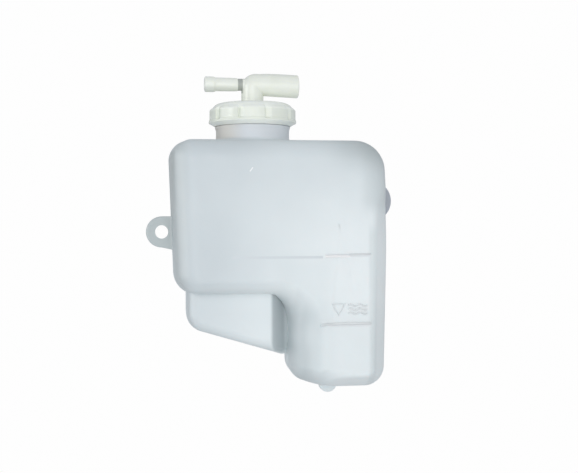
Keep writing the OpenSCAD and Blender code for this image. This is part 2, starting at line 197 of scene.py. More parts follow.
# sides of the body, from the left: left, under the upper body, left of the column, slanting
# cut, bottom, right below and above its widest place, top; a corner comes before its side
bottle = {
    "leftX": 54.7, "leftLean": 3.7, "rightX": 84.5, "rightBow": 2.6, "topRight": 81.6, "widestAt": 0.38,
    "upperH": 98.5, "bodyH": 158.2, "columnX": 22.4, "footSlope": 16.6, "cutWidth": 19.5, "wall": 2.4,
    "radii": [13.2, 15, 19, 14, 40, 13.8, 500, 20.5],
    "frontDepth": 37.0, "backDepth": 30.0, "frontDraft": 2.0, "backDraft": 3.0,
    "frontRound": 12.5, "backRound": 12.0, "topSide": 7,
    "widths": [12, 8.5, 19, 13, 8.5, 12, 12, 13],                # rounding of each side, seen from the front
    "depths": [12.5, 12.5, 29, 24, 12.5, 12.5, 12.5, 12.5],      # and from the side
    "creased": [0, 0, 0, 0, 1, 1, 1, 0], "creaseDepth": 15.0, "creasePower": 1.3, "creaseMain": 0.84,
    "creaseRound": 0.9, "creaseFade": [[-30.0, -54.0], [28.0, 44.0]],      # in height and across
    "seamOut": 0.28, "seamHalf": 0.45, "faceSink": 0.5, "faceMiddle": [0.6, 0.33],
    "arcSteps": [14, 14, 12, 14, 5, 14, 4, 14], "sideSteps": [22, 20, 14, 8, 8, 14, 16, 24],
    "edgeRows": 18, "wallRows": 16, "faceRings": 16,
}
foot = {
    "leftX": 43.4, "frontDepth": 21.0, "backDepth": 26.0, "low": 132.5, "groove": 11.4, "grooveRound": 2.5,
    "radii": [1, 13, 3.5, 1], "round": 6.0, "arcSteps": [3, 14, 8, 3], "sideSteps": [10, 18, 10, 16],
    "edgeRows": 10, "wallRows": 8, "faceRings": 8, "faceSink": 0.15, "middleDown": 12.0,
}
firstRing = 0.006      # a ring this close to the edge keeps the shading of a face flat


def rowDepths(front, back, frontRound, backRound, edgeRows, wallRows, seam):
    # depths of the rows from the front face to the back face, and how far round the edge
    # each lies: 0 on the wall, 1 at the face
    turn = np.sin(np.radians(np.linspace(0, 90, edgeRows + 1)))
    frontWall = -np.linspace(front - frontRound, seam, wallRows)
    backWall = np.linspace(seam, back - backRound, wallRows)
    depth = np.concatenate([-(front - frontRound) - frontRound * turn[:0:-1], frontWall,
                            [0.0], backWall, back - backRound + backRound * turn[1:]])
    share = np.concatenate([turn[:0:-1], np.zeros(2 * wallRows + 1), turn[1:]])
    return depth, share


def draftAt(depth):
    # how far the mould's draft moves a wall inwards at a depth from the parting plane
    slope = np.where(depth < 0, math.tan(math.radians(bottle["frontDraft"])),
                     math.tan(math.radians(bottle["backDraft"])))
    return np.abs(depth) * slope


def closedByFaces(outlines, depth, middle, faceRings, sink):
    # turns stacked outlines into a closed grid: the end outlines shrink towards the middle
    # as (1 - share) of themselves, and the face sinks by sink * share^2 * (3 - 2 share)
    share = np.concatenate([[firstRing], np.linspace(0, 1, faceRings + 1)[1:-1]])
    front = outlines[0] * (1 - share[::-1, None, None]) + middle * share[::-1, None, None]
    back = outlines[-1] * (1 - share[:, None, None]) + middle * share[:, None, None]
    dip = sink * smoothStep(share)
    flat = np.concatenate([front, outlines, back])
    y = np.concatenate([depth[0] + dip[::-1], depth, depth[-1] - dip])
    grid = np.zeros(flat.shape[:2] + (3,))
    grid[..., 0], grid[..., 2] = flat[..., 0], flat[..., 1]
    grid[..., 1] = y[:, None]
    return grid


def bodyOutline():
    # corners before they are rounded, anticlockwise from the top left
    b = bottle
    cutHigh = b["cutWidth"] * math.tan(math.radians(b["footSlope"]))
    return np.array([
        [-b["leftX"], 0], [-b["leftX"] + b["leftLean"], -b["upperH"]],
        [b["columnX"], -b["upperH"]], [b["columnX"], -b["bodyH"] + cutHigh],
        [b["columnX"] + b["cutWidth"], -b["bodyH"]], [b["rightX"] - b["rightBow"], -b["bodyH"]],
        [b["rightX"], -b["widestAt"] * b["bodyH"]], [b["topRight"], 0]])


def bodyShell(name, inner):
    # upper body and column: rounded outlines stacked from front to back, with draft, an
    # elliptical edge rounding and, outside, a raised seam in the parting plane
    b = bottle
    depth, share = rowDepths(b["frontDepth"] - inner, b["backDepth"] - inner, b["frontRound"] - inner,
                             b["backRound"] - inner, b["edgeRows"], b["wallRows"], b["seamHalf"])
    widths = np.array(b["widths"], float) - inner
    points = np.repeat(bodyOutline()[None], len(depth), axis=0)
    front = (depth < 0)[:, None]

    def turnOver(deep):
        # how far round its edge each row is, for each side, when the rounding is that deep
        deep = np.array(deep, float) - inner
        start = b["frontDepth"] - inner - deep
        return np.clip((-depth[:, None] - start) / deep, 0, 1)

    def outlinesAt(shares):
        insets = inner + draftAt(depth)[:, None] + widths * shares
        if inner == 0:
            insets[depth == 0] -= b["seamOut"]
        return roundedOutlines(points, np.array(b["radii"], float), insets, b["arcSteps"], b["sideSteps"])

    # towards the front a side is rounded as deep as it says; the creased ones start steeper
    # and meet the face at an angle with a small round edge, share = main * turn to a power,
    # plus an ellipse over the last of the turn
    softShare = np.where(front, edgeShare(turnOver(b["depths"])), edgeShare(share)[:, None])
    steep, rounded = turnOver([b["creaseDepth"]] * len(widths)), b["creaseRound"]
    steepShare = b["creaseMain"] * steep ** b["creasePower"]
    steepShare = steepShare + (1 - b["creaseMain"]) * edgeShare((steep - rounded) / (1 - rounded))
    steepShare = np.where(front & (np.array(b["creased"]) > 0), steepShare, softShare)
    soft, creased = outlinesAt(softShare), outlinesAt(steepShare)
    (high, low), (left, right) = b["creaseFade"]
    x, z = soft[len(depth) // 2].T
    fade = (smoothStep((z - high) / (low - high)) * smoothStep((x - left) / (right - left)))[:, None]
    flat = soft + (creased - soft) * fade
    middle = np.array([b["rightX"] * b["faceMiddle"][0], -b["bodyH"] * b["faceMiddle"][1]])
    sink = b["faceSink"] if inner == 0 else 0.0
    return skinMesh(name, closedByFaces(flat, depth, middle, b["faceRings"], sink))


def footShell(name, inner):
    # foot block: four sided outlines whose right side leans away from the column towards
    # the front, which leaves the groove; its underside slopes
    f = foot
    depth, share = rowDepths(f["frontDepth"] - inner, f["backDepth"] - inner, f["round"] - inner,
                             f["round"] - inner, f["edgeRows"], f["wallRows"], bottle["seamHalf"])
    slope = math.tan(math.radians(bottle["footSlope"]))
    right = bottle["columnX"] + np.minimum(depth, f["backDepth"] / 3) * f["groove"] / f["frontDepth"]
    left = np.full_like(right, -f["leftX"])
    top = np.full_like(right, -bottle["upperH"] + f["round"])
    points = np.stack([np.stack([left, top], -1), np.stack([left, -f["low"] - left * slope], -1),
                       np.stack([right, -f["low"] - right * slope], -1), np.stack([right, top], -1)], axis=1)
    widths = np.maximum(np.array([f["round"], f["round"], f["grooveRound"]]) - inner, 0.1)
    sides = inner + draftAt(depth)[:, None] + widths * edgeShare(share)[:, None]
    if inner == 0:
        sides[depth == 0] -= bottle["seamOut"]
    insets = np.concatenate([sides, np.zeros((len(depth), 1))], axis=1)
    flat = roundedOutlines(points, np.array(f["radii"], float), insets, f["arcSteps"], f["sideSteps"])
    middle = np.array([-f["leftX"] / 3, -bottle["upperH"] - f["middleDown"]])
    return skinMesh(name, closedByFaces(flat, depth, middle, f["faceRings"], 0.0 if inner else f["faceSink"]))


neck = {"radius": 23.7, "beadR": 24.4, "beadHeights": [6.6, 8.6, 9.0, 9.3], "plainH": 10.0, "finishR": 22.2,
        "finishUp": 1.5, "finishRows": 40, "height": 18.4, "rim": 0.8, "fillet": 2.2, "fallOver": 3.0,
        "wall": 2.4, "rootDown": 7.5, "hollowDown": 9.2, "mouth": 0.5, "threadOut": 1.25, "threadHalf": 0.95,
        "pitch": 4.0, "threadLow": 12.3, "turns": 1.1, "taper": 0.06, "columns": 240, "hollowColumns": 120}


def revolve(profile, columns):
    # profile (rows, 2) of radius and height, carried once round the neck axis
    angle = np.linspace(0, 2 * math.pi, columns, endpoint=False)
    r, z = profile[:, 0, None], profile[:, 1, None]
    return np.stack([r * np.cos(angle), r * np.sin(angle), z + 0 * angle], axis=-1), angle


def threadRise(angle, z, low, turns, pitch, half):
    # a helix: at each angle the ridge's middle climbs pitch per turn from low; the rise is
    # 1 on the ridge, falls off over its flank, and tapers off at both ends over a share of a turn
    rise = np.zeros(np.broadcast(angle, z).shape)
    for k in range(int(math.ceil(turns)) + 1):
        along = angle / (2 * math.pi) + k
        middle = low + pitch * along
        ends = smoothStep(along / neck["taper"]) * smoothStep((turns - along) / neck["taper"])
        rise = np.maximum(rise, ends * smoothStep((half - np.abs(z - middle)) / (half * 0.55)))
    return rise


def neckSolid(name):
    # outside: fillet on the bottle's top, plain neck, cone, finish with its thread, rim
    n = neck
    arc = np.radians(np.linspace(0, 90, 9))
    root = [[n["radius"] + n["fillet"], -n["rootDown"]]]
    fillet = np.stack([n["radius"] + n["fillet"] * (1 - np.sin(arc)), n["fillet"] * (1 - np.cos(arc))], axis=1)
    bead = np.stack([[n["radius"], n["beadR"], n["beadR"], n["radius"]], n["beadHeights"]], axis=1)
    shoulder = [[n["radius"], n["plainH"] - 0.5], [n["radius"] - 0.25, n["plainH"]]]
    low, high = n["plainH"] + n["finishUp"], n["height"] - n["rim"]
    finish = np.stack([np.full(n["finishRows"], n["finishR"]), np.linspace(low, high, n["finishRows"])], axis=1)
    rim = np.stack([n["finishR"] - n["rim"] + n["rim"] * np.cos(arc), high + n["rim"] * np.sin(arc)], axis=1)
    profile = np.vstack([root, fillet, bead, shoulder, finish, rim])
    grid, angle = revolve(profile, n["columns"])
    z = profile[:, 1, None]
    rise = threadRise(angle[None, :], z, n["threadLow"], n["turns"], n["pitch"], n["threadHalf"])
    inFinish = (z > low + 0.1) & (z < high - 0.1)
    radius = np.hypot(grid[..., 0], grid[..., 1])
    grid[..., :2] *= ((radius + n["threadOut"] * rise * inFinish) / radius)[..., None]
    # the fillet follows the bottle's top, which falls away from the parting plane
    onFillet = z < n["fillet"] + 0.01
    fall = topAt(grid[..., 1]) * (1 - smoothStep(z / (n["fillet"] + n["fallOver"])))
    grid[..., 2] += np.where(onFillet, fall, 0.0)
    return skinMesh(name, grid)


def topAt(y):
    # height of the bottle's top face at a depth: draft and, near front and back, the rounding
    b = bottle
    back = np.clip((y - (b["backDepth"] - b["backRound"])) / b["backRound"], 0, 0.98)
    front = np.clip((-y - (b["frontDepth"] - b["frontRound"])) / b["frontRound"], 0, 0.98)
    return -draftAt(y) - b["widths"][b["topSide"]] * ellipse(np.maximum(back, front))


def neckHollow(name):
    # the neck's bore, with a chamfered mouth
    n = neck
    low, high = n["radius"] - n["wall"], n["finishR"] - n["wall"]
    profile = np.array([[low, -n["hollowDown"]], [low, n["plainH"] - 1.5], [high, n["plainH"]],
                        [high, n["height"] - n["mouth"]], [high + n["mouth"], n["height"] + 0.02],
                        [high + n["mouth"], n["height"] + 1]])
    grid, _ = revolve(profile, n["hollowColumns"])
    return skinMesh(name, grid)


plates = {
    "half": 2.3, "edge": 0.7, "flare": 1.6, "columns": 96, "reachRings": 11, "edgeSteps": 5,
    "ear": {"x": -59.0, "z": -58.5, "r": 9.97, "hole": 4.3, "drop": 1.6, "root": 7.4},
    "tab": {"x": 78.6, "z": -38.6, "r": 13.28, "sunk": 0.35},
    "nub": {"x": 48.8, "z": -157.8, "r": 5.88},
}


def plateSolid(name, x, z, reachAt, hole, wallDistance):
    # a flat plate in the parting plane: at each angle a closed loop runs from the hole or the
    # middle along the front, round the edge and back; near the wall its sides flare out
    p = plates
    rings = p["reachRings"]
    angle = np.linspace(0, 2 * math.pi, p["columns"], endpoint=False)
    reach = reachAt(angle)
    arc = np.radians(np.linspace(0, 90, p["edgeSteps"]))
    out = np.concatenate([np.linspace(0, 1, rings + 1)[:-1], 1 + 0 * arc])      # share of the way out
    edgeIn = np.concatenate([np.full(rings, p["edge"]), p["edge"] * (1 - np.sin(arc))])
    y = np.concatenate([np.full(rings, p["half"]), p["half"] - p["edge"] * (1 - np.cos(arc))])
    loopOut = np.concatenate([out, out[::-1]])
    loopEdge = np.concatenate([edgeIn, edgeIn[::-1]])
    loopY = np.concatenate([-y, y[::-1]])
    r = hole + loopOut[:, None] * (reach[None, :] - p["edge"] - hole)
    r = r + (p["edge"] - loopEdge[:, None]) * (loopOut[:, None] >= 1)
    px = x + r * np.cos(angle)
    pz = z + r * np.sin(angle)
    near = np.clip(1 - wallDistance(px, pz) / p["flare"], 0, 0.999)
    swell = p["flare"] * ellipse(near)
    py = loopY[:, None] + np.sign(loopY)[:, None] * swell
    grid = np.stack([px, py, pz], axis=-1)
    return skinMesh(name, grid, closeRows=hole > 0)


def earSolid():
    # round towards the left; towards the bottle straight sides run to its wall, the lower one
    # dropping a little
    e = plates["ear"]
    b = bottle
    small, far = 0.01, 1e9

    def reachAt(angle):
        c, s = np.cos(angle), np.sin(angle)
        slope = e["drop"] / e["root"]
        toRoot = np.where(c > small, e["root"] / np.maximum(c, small), far)
        toUpper = np.where(s > small, e["r"] / np.maximum(s, small), far)
        toLower = np.where(s < -small, e["r"] / np.maximum(-s - slope * np.maximum(c, 0), small), far)
        square = np.minimum(toRoot, np.minimum(toUpper, toLower))
        return np.where(c > 0, square, e["r"])

    wallX = lambda z: -b["leftX"] + b["leftLean"] * -z / b["upperH"]
    return plateSolid("ear", e["x"], e["z"], reachAt, e["hole"], lambda x, z: wallX(z) - x)


def tabSolid():
    t = plates["tab"]
    return plateSolid("tab", t["x"], t["z"], lambda a: t["r"] + 0 * a, 0.0,
                      lambda x, z: x - (bottle["rightX"] - t["sunk"]))


def nubSolid():
    u = plates["nub"]
    return plateSolid("nub", u["x"], u["z"], lambda a: u["r"] + 0 * a, 0.0,
                      lambda x, z: -bottle["bodyH"] - z)


marks = {"proud": 0.5, "half": 0.8, "columns": 12, "sunk": 0.35,      # share of the face's own sink
         "upper": [[40.8, -74.3], [56.2, -74.1]], "upperThin": [[55.8, -73.2], [69.5, -72.9]],
         "lower": [[37.4, -117.7], [40.6, -116.8], [44.0, -116.6], [69.5, -116.4]],
         "pointer": [[44.8, -104.0], [52.8, -104.0], [48.8, -111.2]], "pointerHalf": 0.55,
         "waves": 3, "waveStart": [55.0, -105.0], "waveGap": 2.5, "waveLength": 12.0, "waveHigh": 0.6,
         "waveHalf": 0.5}


def ridge(name, path, half, proud, closed=False):
    # a low half elliptic ridge on the front face, carried along a path
    path = np.array(path, float)
    ahead = np.roll(path, -1, axis=0) - path
    if not closed:
        ahead[-1] = ahead[-2]
        along = unit(np.vstack([ahead[:1], ahead[1:] + ahead[:-1]]))
    else:
        along = unit(ahead + np.roll(ahead, 1, axis=0))
    sideways = np.stack([-along[:, 1], along[:, 0]], axis=1)
    angle = np.linspace(0, 2 * math.pi, marks["columns"], endpoint=False)
    flat = path[:, None, :] + sideways[:, None, :] * (half * np.cos(angle))[None, :, None]
    y = -bottle["frontDepth"] - proud * np.sin(angle) + bottle["faceSink"] * marks["sunk"]
    grid = np.stack([flat[..., 0], np.broadcast_to(y, flat.shape[:2]), flat[..., 1]], axis=-1)
    return skinMesh(name, grid, closeRows=closed)


def levelMarks():
    # two level lines, the upper one going on thinner, a pointer and waves as a plain sign
    m = marks
    share = np.linspace(0, 1, 25)
    made = [ridge("upperLine", m["upper"], m["half"], m["proud"]),
            ridge("upperThin", m["upperThin"], m["half"] * 0.6, m["proud"] * 0.8),
            ridge("lowerLine", m["lower"], m["half"], m["proud"]),
            ridge("pointer", m["pointer"], m["pointerHalf"], m["proud"] * 0.9, True)]
    for k in range(m["waves"]):
        middle = m["waveStart"][1] - m["waveGap"] * k
        line = np.stack([m["waveStart"][0] + m["waveLength"] * share,
                         middle + m["waveHigh"] * np.sin(share * 4 * math.pi)], axis=1)
        made.append(ridge("wave" + str(k), line, m["waveHalf"], m["proud"] * 0.9))
    return made


def buildBottle():
    wall = bottle["wall"]
    outer = facingOut(bodyShell("tankBottle", 0.0))
    parts = [footShell("foot", 0.0), neckSolid("neck"), earSolid(), tabSolid(), nubSolid()]
    joinSolids(outer, [facingOut(part) for part in parts], "UNION")
    hollows = [bodyShell("hollow", wall), footShell("footHollow", wall), neckHollow("neckHollow")]
    joinSolids(outer, [facingOut(hollow) for hollow in hollows], "DIFFERENCE")
    addShells(outer, [facingOut(o) for o in levelMarks()])
    finishSolid(outer, 32)
    return outer


tankBottle = buildBottle()
print("bottle made")

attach(tankBottle, bottleBody)
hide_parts("tank_bottle")


cap = {"bore": 24.2, "skirt": 26.2, "top": 24.3, "base": 10.6, "innerTop": 22.3, "shoulder": 4.6,
       "skirtLow": 9.4, "shoulderIn": 6.0, "lipOut": 2.2, "hole": 7.55, "columns": 720,
       "lobes": 10, "lobeOut": 1.75, "firstStep": -8.0, "climbOver": 0.22, "softTop": 0.85, "dropAt": 0.955,
       "lobeFrom": 1.9, "lobeTo": 2.4, "lobeFade": 2.6,      # over the base, under the top
       "threadIn": 1.05, "threadHalf": 0.85, "threadPlay": 0.1, "turns": 1.15,
       "wallRows": 22, "shoulderRows": 15, "topRows": 14, "boreRows": 48}


def lobeRise(angle):
    # round the cap each lobe climbs over a share of its pitch, stays level and drops at the step
    pitch = 360 / cap["lobes"]
    along = ((np.degrees(angle) - cap["firstStep"]) % pitch) / pitch     # 0 just past a step
    climb, soft = along / cap["climbOver"], cap["softTop"]
    overTop = np.clip((climb - soft) / (1 - soft), 0, math.pi / 2)
    climb = np.where(climb > soft, soft + (1 - soft) * np.sin(overTop), climb)
    return climb * (1 - smoothStep((along - cap["dropAt"]) / (1 - cap["dropAt"])))


def capSolid():
    # a closed profile, from the bore's lower edge out over lip, skirt, shoulder and top, and
    # back down inside, carried round the neck axis; the lobes swell it between lip and shoulder
    c = cap
    arc = np.radians(np.linspace(0, 90, c["shoulderRows"]))[1:]
    lip = c["skirt"] + c["lipOut"]
    lipArc = np.radians(np.linspace(-60, 60, 7))
    under = [[c["bore"], c["skirtLow"]], [c["bore"] + 0.3, c["skirtLow"]], [lip - 0.5, c["base"] + 0.85]]
    edge = np.stack([lip - 0.4 + 0.4 * np.cos(lipArc), c["base"] + 1.4 + 0.6 * np.sin(lipArc)], axis=1)
    ledge = [[lip - 0.6, c["base"] + 2.1], [c["skirt"] + 0.4, c["base"] + 2.6], [c["skirt"], c["base"] + 3.0]]
    wall = np.linspace([c["skirt"], c["base"] + 3.1], [c["skirt"], c["top"] - c["shoulder"]], c["wallRows"])
    shoulder = np.stack([c["skirt"] - c["shoulderIn"] * (1 - np.cos(arc)),
                         c["top"] - c["shoulder"] * (1 - np.sin(arc))], axis=1)
    flat = np.linspace([c["skirt"] - c["shoulderIn"], c["top"]], [c["hole"] + 0.5, c["top"]], c["topRows"])[1:]
    hole = [[c["hole"] + 0.15, c["top"] - 0.12], [c["hole"], c["top"] - 0.5], [c["hole"], c["innerTop"] + 0.05],
            [c["hole"] + 0.05, c["innerTop"]]]
    inside = [[c["bore"] - 0.6, c["innerTop"]], [c["bore"] - 0.15, c["innerTop"] - 0.15]]
    bore = np.linspace([c["bore"], c["innerTop"] - 0.6], [c["bore"], c["skirtLow"] + 0.3], c["boreRows"])
    profile = np.vstack([under, edge, ledge, wall, shoulder, flat, hole, inside, bore])
    grid, angle = revolve(profile, c["columns"])
    z = profile[:, 1, None]
    row = np.arange(len(profile))[:, None]
    outside = row < sum(len(piece) for piece in (under, edge, ledge, wall, shoulder))
    inBore = row >= len(profile) - len(bore)
    fade = smoothStep((z - c["base"] - c["lobeFrom"]) / 0.3)
    fade = fade * smoothStep((c["top"] - c["lobeTo"] - z) / c["lobeFade"])
    swell = c["lobeOut"] * lobeRise(angle)[None, :] * fade * outside
    # the cap's ridge lies just under the neck's
    threadLow = neck["threadLow"] - neck["threadHalf"] - c["threadHalf"] - c["threadPlay"]
    rise = threadRise(angle[None, :], z, threadLow, c["turns"], neck["pitch"], c["threadHalf"])
    thread = c["threadIn"] * rise * inBore * smoothStep((z - c["base"] - 0.5) / 0.6)
    radius = np.hypot(grid[..., 0], grid[..., 1])
    wanted = np.where(outside, np.minimum(radius + swell, np.maximum(radius, lip - 0.1)), radius - thread)
    grid[..., :2] *= (wanted / radius)[..., None]
    return facingOut(skinMesh("screwCap", grid, closeRows=True))


screwCap = capSolid()
finishSolid(screwCap, 40)
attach(screwCap, capBody)
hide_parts("screw_cap")
print("cap made")


fitting = {"stem": 7.15, "stemLow": 11.7, "snapOut": 0.9, "snapH": 1.6, "wall": 1.9, "axisH": 36.7, "bend": 2.0,
           "ventR": 7.45, "ventStep": 0.16, "ventReach": 29.8, "droop": 0.75, "droopFrom": 9.0, "rimRound": 0.5,
           "spigot": 4.15, "spigotEnd": 4.4, "spigotReach": 31.1, "nose": 0.9, "bead": 5.0, "beadL": 6.8,
           "collar": [-16.0, -10.2, -9.9, -9.6, -7.3],      # places of the collar's edges on the hose axis
           "bore": 2.5, "boreMouth": 0.4, "pipe": 3.2, "pipeDown": 12.0, "bridge": 6.2,
           "columns": 96, "spigotColumns": 72, "pipeColumns": 64, "boreColumns": 48}


def bentTube(name, radius, lowZ, reach, stemSwell, ventSwell):
    # A tube up the neck axis, round a tight bend and out to the right. Each of its lines, at
    # angle t round the tube, goes up at x = r cos t, turns about the bend's centre line at the
    # distance bend - r cos t, and leaves at z = axisH - r cos t. A line inside the bend has no
    # distance left, so it turns at one point and leaves a sharp inner corner.
    # stemSwell and ventSwell are pairs of a share of the way and how much wider the tube is there.
    f = fitting
    t = np.linspace(0, 2 * math.pi, f["columns"], endpoint=False)
    c, s = np.cos(t), np.sin(t)
    upShare, upSwell = np.array(stemSwell, float).T[:, :, None]
    outShare, outSwell = np.array(ventSwell, float).T[:, :, None]
    upEnd = np.minimum(f["axisH"] - f["bend"], f["axisH"] - radius * c)
    wide = radius + upSwell
    up = np.stack([wide * c, wide * s, lowZ + upShare * (upEnd - lowZ)], axis=-1)
    a = np.radians(np.linspace(0, 90, 19))[1:-1, None]
    far = np.maximum(f["bend"] - radius * c, 0.0)
    corner = np.where(far > 0, f["bend"], radius * c)
    turn = np.stack([corner - far * np.cos(a), radius * s + 0 * a,
                     f["axisH"] - corner + far * np.sin(a)], axis=-1)
    outStart = np.maximum(f["bend"], radius * c)
    x = outStart + outShare * (reach - outStart)
    drop = f["droop"] * np.clip((x - f["droopFrom"]) / (f["ventReach"] - f["droopFrom"]), 0, 1) ** 1.5
    wide = radius + outSwell
    out = np.stack([x, wide * s + 0 * x, f["axisH"] - drop - wide * c], axis=-1)
    return facingOut(skinMesh(name, np.concatenate([up, turn, out])))


def roundBar(name, profile, columns, turned=False):
    # profile (rows, 2) of radius and place, round the neck axis or, turned, round the hose axis
    grid, _ = revolve(np.array(profile, float), columns)
    if turned:
        grid = np.stack([grid[..., 2], grid[..., 0], fitting["axisH"] + grid[..., 1]], axis=-1)
    return facingOut(skinMesh(name, grid))


def fittingSolid():
    f = fitting
    snap = f["snapH"] / (f["axisH"] - f["stemLow"])
    stem = [[0, 0], [0.002, f["snapOut"] * 0.3], [snap * 0.5, f["snapOut"]], [snap, f["snapOut"]], [snap + 0.004, 0]]
    stem += [[share, 0] for share in np.linspace(0.12, 1, 15)]
    # the vent tube starts as wide as the elbow, has a soft step, swells slowly and has a rounded rim
    shares = np.concatenate([np.linspace(0, 0.9, 28), [0.95, 0.975, 0.99, 0.997, 1.0]])
    swell = (f["ventR"] - f["stem"] - f["ventStep"]) * smoothStep(shares / 0.75)
    swell = swell + f["ventStep"] * smoothStep((shares - 0.12) / 0.12)
    swell = swell - f["rimRound"] * ellipse(np.clip((shares - 0.975) / 0.0255, 0, 1))
    outer = bentTube("hoseFitting", f["stem"], f["stemLow"], f["ventReach"], stem, np.stack([shares, swell], axis=1))
    straight = [[0, 0], [1, 0]]
    inner = bentTube("passage", f["stem"] - f["wall"], f["stemLow"] - 1, f["ventReach"] + 1, straight, straight)
    joinSolids(outer, [inner], "DIFFERENCE")
    # inner pipe down the stem, and its bridge through the elbow's wall to the spigot
    bead, end, top, pipe, bore = f["bead"], -f["spigotReach"], f["axisH"], f["pipe"], f["bore"]
    upright = roundBar("pipe", [[pipe, f["stemLow"] - f["pipeDown"]], [pipe, top], [pipe * 0.7, top + pipe * 0.7]],
                       f["pipeColumns"])
    bridge = roundBar("bridge", [[pipe, -f["bridge"]], [pipe, 0]], f["pipeColumns"], True)
    # hose spigot: rounded nose, bead, barb behind it, slim pipe, and a collar where it leaves the elbow
    arc = np.radians(np.linspace(0, 90, 7))
    nose = np.stack([bead - f["nose"] * (1 - np.sin(arc)), end + f["nose"] * (1 - np.cos(arc))], axis=1)
    slim, thick, barb = f["spigot"], f["spigotEnd"], end + f["beadL"]
    widths = [thick - 0.03, slim + 0.1, slim - 0.1, slim - 0.25, slim - 0.25]
    spigot = roundBar("spigot", np.vstack([
        nose, [[bead, barb - 1.3], [bead - 0.12, barb - 0.9], [thick + 0.1, barb + 0.2], [thick, barb + 0.6]],
        np.stack([widths, f["collar"]], axis=1), [[slim - 0.2, -f["stem"] + f["wall"] + 0.4]]]),
        f["spigotColumns"], True)
    joinSolids(outer, [upright, bridge, spigot], "UNION")
    down = roundBar("down", [[bore, f["stemLow"] - f["pipeDown"] - 1], [bore, top], [bore * 0.7, top + 1.2]],
                    f["boreColumns"])
    mouth = bore + f["boreMouth"]
    across = roundBar("across", [[mouth, end - 1], [mouth, end + 0.02], [bore, end + 0.5], [bore, 0]],
                      f["boreColumns"], True)
    joinSolids(outer, [down, across], "DIFFERENCE")
    finishSolid(outer, 35)
    return outer


hoseFitting = fittingSolid()
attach(hoseFitting, fittingBody)
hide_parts("hose_fitting")
print("fitting made")


def srgb(code):
    # sRGB hex colour to linear values
    parts = [int(code[i:i + 2], 16) / 255 for i in (1, 3, 5)]
    return [c / 12.92 if c <= 0.04045 else ((c + 0.055) / 1.055) ** 2.4 for c in parts] + [1.0]


def addNode(tree, kind, settings=None, **links):
    # a node with its settings; links and plain values go in by socket name, or by number as i0, i1
    node = tree.nodes.new(kind)
    for key, value in (settings or {}).items():
        setattr(node, key, value)
    for key, value in links.items():
        byNumber = key[0] == "i" and key[1:].isdigit()
        socket = node.inputs[int(key[1:]) if byNumber else key.replace("_", " ")]
        if isinstance(value, bpy.types.NodeSocket):
            tree.links.new(value, socket)
        else:
            socket.default_value = value
    return node


def newMaterial(name):
    # a material with a principled shader, and the position in the object's own coordinates
    material = bpy.data.materials.new(name)
    material.use_nodes = True
    tree = material.node_tree
    tree.nodes.clear()
    shader = addNode(tree, "ShaderNodeBsdfPrincipled")
    addNode(tree, "ShaderNodeOutputMaterial", Surface=shader.outputs[0])
    place = addNode(tree, "ShaderNodeTexCoord").outputs["Object"]
    return material, tree, shader, place


def ramp(tree, value, low, high):
    # 0 below low, 1 above high, smooth in between; low may be the larger one
    return addNode(tree, "ShaderNodeMapRange", {"interpolation_type": "SMOOTHERSTEP"},
                   Value=value, i1=low, i2=high, i3=0.0, i4=1.0).outputs[0]


def spread(tree, value, low, high, first, last):
    # a straight line from first at low to last at high
    return addNode(tree, "ShaderNodeMapRange", Value=value, i1=low, i2=high, i3=first, i4=last).outputs[0]


def combine(tree, operation, *values, **settings):
    settings["operation"] = operation
    links = {"i" + str(k): value for k, value in enumerate(values)}
    return addNode(tree, "ShaderNodeMath", settings, **links).outputs[0]


def product(tree, *values):
    total = values[0]
    for value in values[1:]:
        total = combine(tree, "MULTIPLY", total, value)
    return total


def weighted(tree, first, a, second, b):
    # a * first + b * second
    return combine(tree, "MULTIPLY_ADD", first, a, combine(tree, "MULTIPLY", second, b))


def blend(tree, share, first, second):
    return addNode(tree, "ShaderNodeMix", {"data_type": "RGBA"}, i0=share, i6=first, i7=second).outputs[2]


def noise(tree, place, size, detail, **others):
    # noise with grains of a size in millimetres
    node = addNode(tree, "ShaderNodeTexNoise", Vector=place, Scale=1000 / size, Detail=detail, **others)
    return node.outputs["Fac"]


def bump(tree, height, strength, depth, **others):
    # relief of a depth in millimetres
    node = addNode(tree, "ShaderNodeBump", Strength=strength, Distance=depth / 1000, Height=height, **others)
    return node.outputs[0]


def zone(tree, places, limits, share=1.0):
    # where a tone lies. Each limit names a coordinate, where the tone is 0 and where it is full,
    # in metres. The share is a number, or a coordinate with two places and the share at each
    if isinstance(share, tuple):
        axis, low, high, first, last = share
        share = spread(tree, places[axis], low, high, first, last)
    return product(tree, *[ramp(tree, places[axis], low, high) for axis, low, high in limits], share)


frontOnly = ("y", 0.016, -0.028)
onFace = ("y", -0.0355, -0.036)


def stroke(height, half, left, right):
    # limits of a level line on the front face, with soft edges and ends
    return [onFace, ("z", height - half * 1.5, height - half * 0.5), ("z", height + half * 1.5, height + half * 0.5),
            ("x", left, left + 0.002), ("x", right, right - 0.001)]


